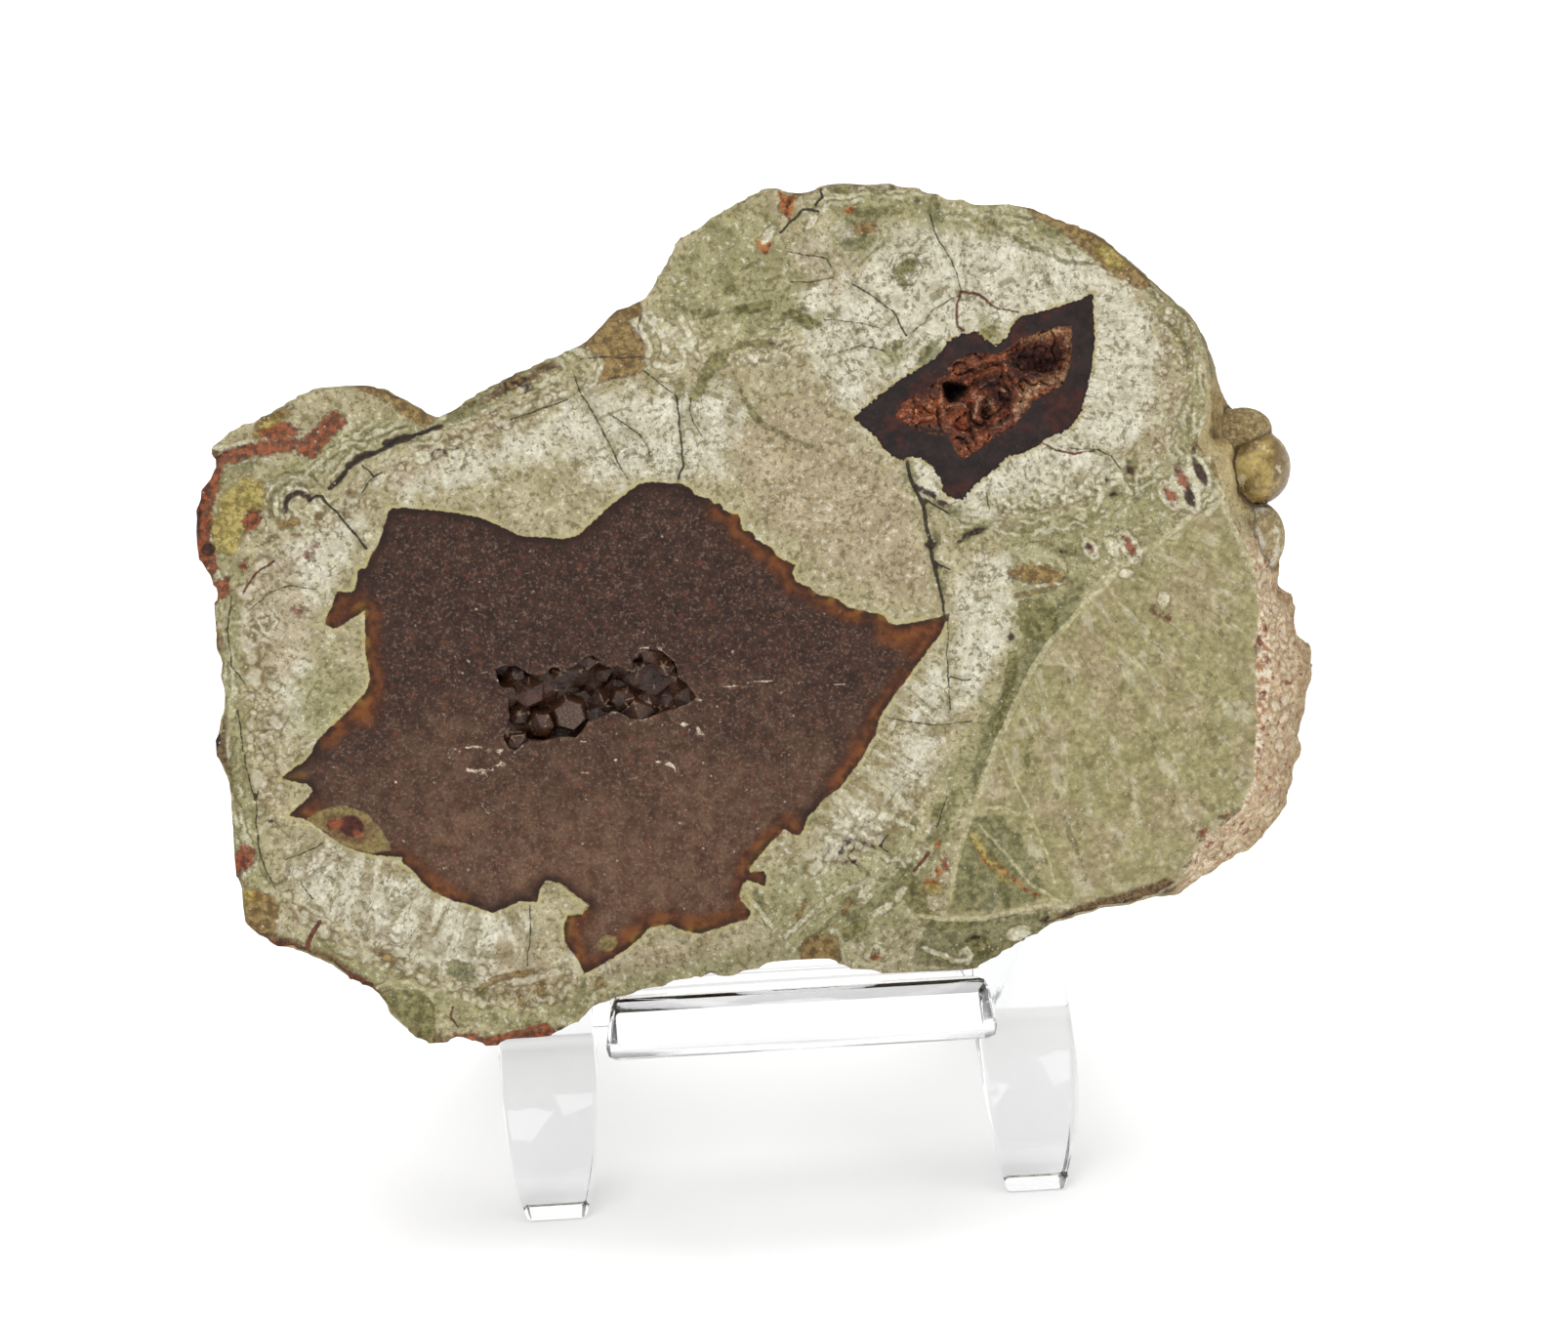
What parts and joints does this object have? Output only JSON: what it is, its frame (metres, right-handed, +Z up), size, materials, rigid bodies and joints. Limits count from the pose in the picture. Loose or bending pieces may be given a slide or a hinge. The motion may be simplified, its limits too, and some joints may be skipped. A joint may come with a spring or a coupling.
{
  "type": "agate",
  "caption": "Agate cut and polished on its front, with dark translucent agate and crystal hollows in a pale green matrix, leaning back in a small clear stand.",
  "frame": {"origin": "on the ground, under the middle of the bounding box", "axes": "+Z up, +X along the width of the agate, -Y towards the side that the polished face looks to"},
  "size_m": [0.09, 0.0394, 0.0818],
  "materials": {
    "polished_stone": "polished face with a rough natural rind",
    "dark_crystal": "glossy crystal faces",
    "lens_lining": "rough, granular",
    "clear_plastic": "clear, glossy"
  },
  "bodies": {
    "root": {"agate_stone": "polished_stone", "hollow_crystals": "dark_crystal", "lens_lining": "lens_lining", "stand": "clear_plastic"}
  },
  "joints": []
}
